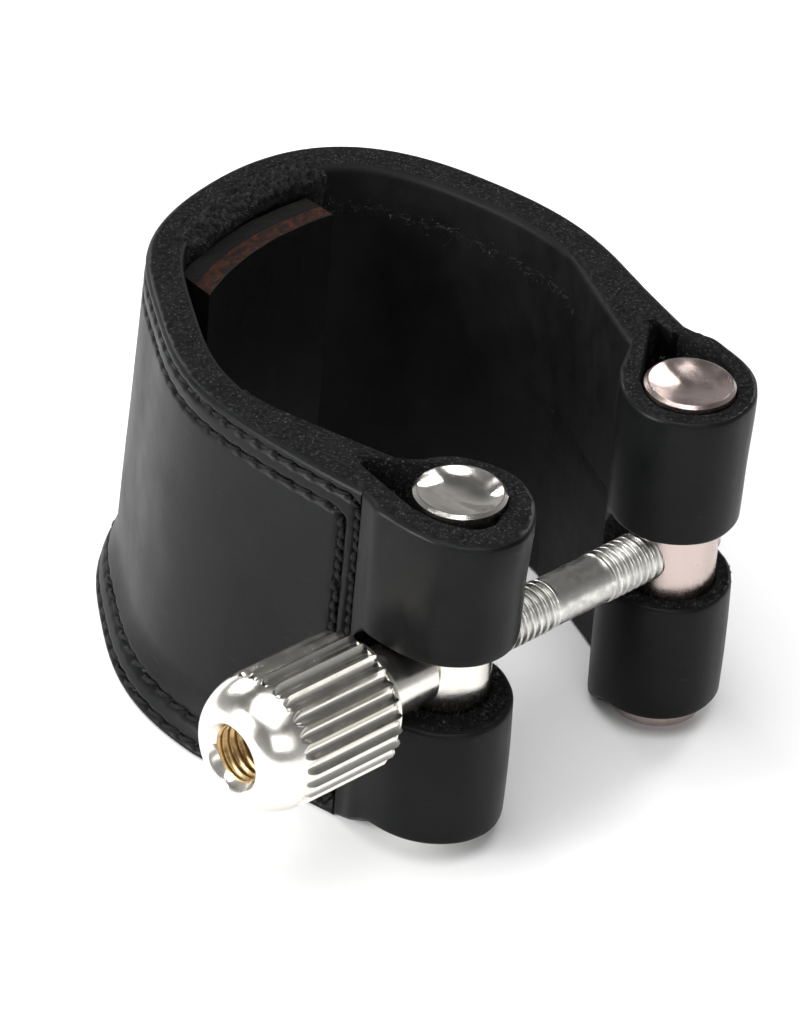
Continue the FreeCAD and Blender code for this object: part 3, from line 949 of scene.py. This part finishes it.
def pocket_pad():
    """Rough leather, flesh side out, that fills the gap behind and above the plate."""
    start, end, low, high = PAD[:4]
    depth, z = section(0.0, 4.0, low, HEIGHT + 0.12, 0.05, 0.1, 0.2)[:2]
    angles = np.linspace(start, end, 210)
    share = np.clip(depth / 4.0, 0, 1)[None, :]
    top_rise = high - 0.4 - low + (HEIGHT + 0.52 - high) * pad_ends(angles[:, None])
    tall = low + (z[None, :] - low) * top_rise / (HEIGHT + 0.12 - low)
    back, front = pad_depths(angles[:, None], tall)
    points = wall_point(angles[:, None] + 0 * z, tall, back + (front - back) * share)
    out = np.concatenate((outward(angles), np.zeros((len(angles), 1))), 1)[:, None, :]
    rough = grain(points, 0.5, 0.22, 4.0) + grain(points, 0.22, 0.20, 6.0)
    points -= out * np.where(share > 0.5, rough, 0)[..., None]
    top = smooth((tall - HEIGHT + 0.5) / 0.4)
    lumps = grain(points, 0.32, 0.40, 2.0) + grain(points, 0.16, 0.2, 7.0)
    points[..., 2] += top * (lumps - 0.25 * share ** 2)
    faces, kinds = tube(points, 0, True, 0)
    thing = make_object("pocket_pad_suede", points, faces, [SUEDE], kinds, sharp=180)
    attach(thing, "back")
    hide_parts("pocket_pad")


# ---------------------------------------------------------------- fuzz

def fibres(name, roots, directions, length, width=0.03):
    """Short curved hairs that stand on a surface."""
    pieces = []
    turns = np.radians(np.array((0, 120, 240)))
    for root, direction in zip(roots, directions):
        bend = random.normal(0, 0.55, 3)
        size = length * random.uniform(0.4, 1.2)
        t = np.linspace(0, 1, 5)
        line = root + np.outer(t * size, direction) + np.outer(t ** 2 * size, bend)
        side = np.cross(direction, bend)
        side = side / max(np.linalg.norm(side), 1e-6)
        other = np.cross(direction, side)
        thick = width * (1.02 - t) * random.uniform(0.6, 1.1)
        ring = np.cos(turns)[:, None] * side + np.sin(turns)[:, None] * other
        pieces.append(line[:, None, :] + thick[:, None, None] * ring[None, :, :])
    points, faces = many(pieces)
    thing = make_object(name, points, faces, [FIBRE], sharp=180)
    return thing


def unit(vectors):
    return vectors / np.linalg.norm(vectors, axis=-1, keepdims=True)


def scattered(directions, spread):
    """The directions with a random lean, at unit length."""
    return unit(directions + random.normal(0, spread, directions.shape))


def upright(flat, height):
    """Plan directions with a height added."""
    return np.concatenate((flat, np.full((len(flat), 1), height)), 1)


def cover_row_fibres(side):
    holes = cover_rows(side)[1]
    count = 700
    pick = random.integers(0, len(holes) - 1, count)
    spots = holes[pick] + (holes[pick + 1] - holes[pick]) * random.uniform(0, 1, (count, 1))
    spots += random.normal(0, 0.13, spots.shape)
    angles = angle_at(side, spots[:, 0])
    roots = wall_point(angles, spots[:, 1], 0.08)
    thing = fibres("cover_row_fibres_" + side, roots, scattered(upright(outward(angles), 0), 0.8), 0.16, 0.02)
    half_of_band(thing, [])


def loop_fibres(level, side):
    """Hairs on a loop's top edge, more and longer where the loop was cut roughly."""
    count, length = (900, 0.36) if level == "lower" else (160, 0.14)
    centre, top = PIN_AXES[side], LOOPS[(level, side)][1][2]
    way = random.uniform(0, 2 * math.pi, count)
    out = random.uniform(PIN_RADIUS + 0.25, PIN_RADIUS + 1.2, count)
    around = np.stack((np.cos(way), np.sin(way)), 1)
    roots = upright(centre + out[:, None] * around, top - 0.05)
    thing = fibres("%s_loop_%s_fibres" % (level, side), roots, scattered(upright(-around, 1.3), 0.5), length)
    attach(thing, side + "_side")


def rim_fibres(side, count):
    angles = angle_at(side, random.uniform(1.0, seam_reach(side) - 0.3, count))
    depth = random.uniform(0.5, WALL - 0.5, count)
    roots = wall_point(angles, HEIGHT - 0.04, depth)
    lean = random.normal(0, 0.8, roots.shape) + (0, 0, 0.8)
    half_of_band(fibres("rim_fibres_" + side, roots, unit(lean), 0.12, 0.02), [])


def lining_row_fibres(side, count):
    angles = angle_at(side, random.uniform(5.0, seam_reach(side) - 0.3, count))
    roots = wall_point(angles, LINING_ROWS[1] + random.normal(0, 0.3, count), WALL - 0.05)
    inward = scattered(upright(-outward(angles), 0), 0.6)
    half_of_band(fibres("lining_row_fibres_" + side, roots, inward, 0.35, 0.025), [])


def pad_fibres(count):
    start, end = PAD[:2]
    angles = random.uniform(start + 3, end - 4, count)
    heights = HEIGHT - 0.1 - random.exponential(0.4, count)
    back, front = pad_depths(angles, heights)
    roots = wall_point(angles, heights, back + (front - back) * random.uniform(0.1, 0.95, count))
    thing = fibres("pad_fibres", roots, scattered(upright(-0.3 * outward(angles), 0.8), 1.2), 0.19, 0.04)
    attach(thing, "back")


def fuzz():
    """Loose fibres on the cut edges, on the suede and along the stitches."""
    for side in SIDES:
        cover_row_fibres(side)
        for level in ("lower", "upper"):
            loop_fibres(level, side)
        rim_fibres(side, 1500)
        lining_row_fibres(side, 1500)
    pad_fibres(4200)


# ---------------------------------------------------------------- stage

def floor():
    look = Look("pale_floor", Roughness=0.85, Specular_IOR_Level=0.1)
    mottle = look.noise(60.0, 3.0)
    look.set(Base_Color=look.ramp(mottle, 0.3, 0.7, (0.86, 0.86, 0.86), (0.90, 0.90, 0.90)))
    mesh = bpy.data.meshes.new("floor")
    size = 1.5
    corners = [(-size, -size, 0), (size, -size, 0), (size, size, 0), (-size, size, 0)]
    mesh.from_pydata(corners, [], [(0, 1, 2, 3)])
    mesh.materials.append(look.material)
    thing = bpy.data.objects.new("floor", mesh)
    bpy.context.scene.collection.objects.link(thing)


def area_light(name, place, size, power):
    """A rectangular softbox that faces the object's middle."""
    light = bpy.data.lights.new(name, "AREA")
    light.shape = "RECTANGLE"
    light.size, light.size_y = size
    light.energy = power
    thing = bpy.data.objects.new(name, light)
    thing.location = place
    thing.rotation_euler = (Vector((0, 0, 0.012)) - Vector(place)).to_track_quat("-Z", "Y").to_euler()
    bpy.context.scene.collection.objects.link(thing)


def lights():
    area_light("key_from_above", (-0.15, -0.05, 0.75), (0.7, 0.6), 5.2)
    area_light("left_softbox", (-0.60, 0.20, 0.24), (0.20, 0.42), 6.5)
    area_light("front_softbox", (-0.30, -0.62, 0.36), (0.5, 0.3), 1.2)
    area_light("back_left_softbox", (0.08, 0.62, 0.36), (0.20, 0.34), 1.9)
    area_light("back_right_softbox", (0.62, 0.14, 0.40), (0.20, 0.36), 1.9)
    bpy.context.scene.world = pale_room()


def pale_room():
    """A pale room to look at, darker towards the walls where it lights and mirrors in the object."""
    world = bpy.data.worlds.new("pale_room")
    world.use_nodes = True
    tree = world.node_tree
    background = tree.nodes["Background"]
    rays = tree.nodes.new("ShaderNodeLightPath")
    where = tree.nodes.new("ShaderNodeTexCoord")
    height = tree.nodes.new("ShaderNodeSeparateXYZ")
    tree.links.new(where.outputs["Generated"], height.inputs[0])
    shade = tree.nodes.new("ShaderNodeMapRange")
    for key, value in (("From Min", 0.05), ("From Max", 0.7), ("To Min", 0.42), ("To Max", 0.12)):
        shade.inputs[key].default_value = value
    tree.links.new(height.outputs["Z"], shade.inputs["Value"])
    mix = tree.nodes.new("ShaderNodeMix")
    mix.inputs[3].default_value = 0.92
    tree.links.new(rays.outputs["Is Camera Ray"], mix.inputs[0])
    tree.links.new(shade.outputs["Result"], mix.inputs[2])
    tree.links.new(mix.outputs[0], background.inputs["Strength"])
    background.inputs["Color"].default_value = (1, 1, 1, 1)
    return world


def camera():
    """The camera's place and direction, aimed at the object's middle from there."""
    place = Vector((-241.75, -243.50, 244.17)) * MM
    forward = Vector((0.62945, 0.59621, -0.49832))
    right = Vector((0.71825, -0.69113, 0.08035))
    low, high = (Vector(corner) for corner in CAD_BOX)
    aim = ((low + high) / 2 + Vector((0.0035, -0.0034, 0.0)) - place).normalized()
    turn = forward.rotation_difference(aim)
    right = turn @ right
    right = (right - aim * right.dot(aim)).normalized()
    up = right.cross(aim)
    data = bpy.data.cameras.new("camera")
    data.sensor_width = 36.0
    data.lens = 219.6
    data.clip_start = 0.01
    thing = bpy.data.objects.new("camera", data)
    rotation = Matrix((right, up, -aim)).transposed()
    thing.matrix_world = Matrix.Translation(place) @ rotation.to_4x4()
    bpy.context.scene.collection.objects.link(thing)
    bpy.context.scene.camera = thing


band()
for level in ("lower", "upper"):
    for side in SIDES:
        loop(level, side)
pins()
stud()
bush()
thumb_nut()
plate()
pocket_pad()
fuzz()
floor()
lights()
camera()
bpy.context.scene.view_settings.view_transform = "Standard"
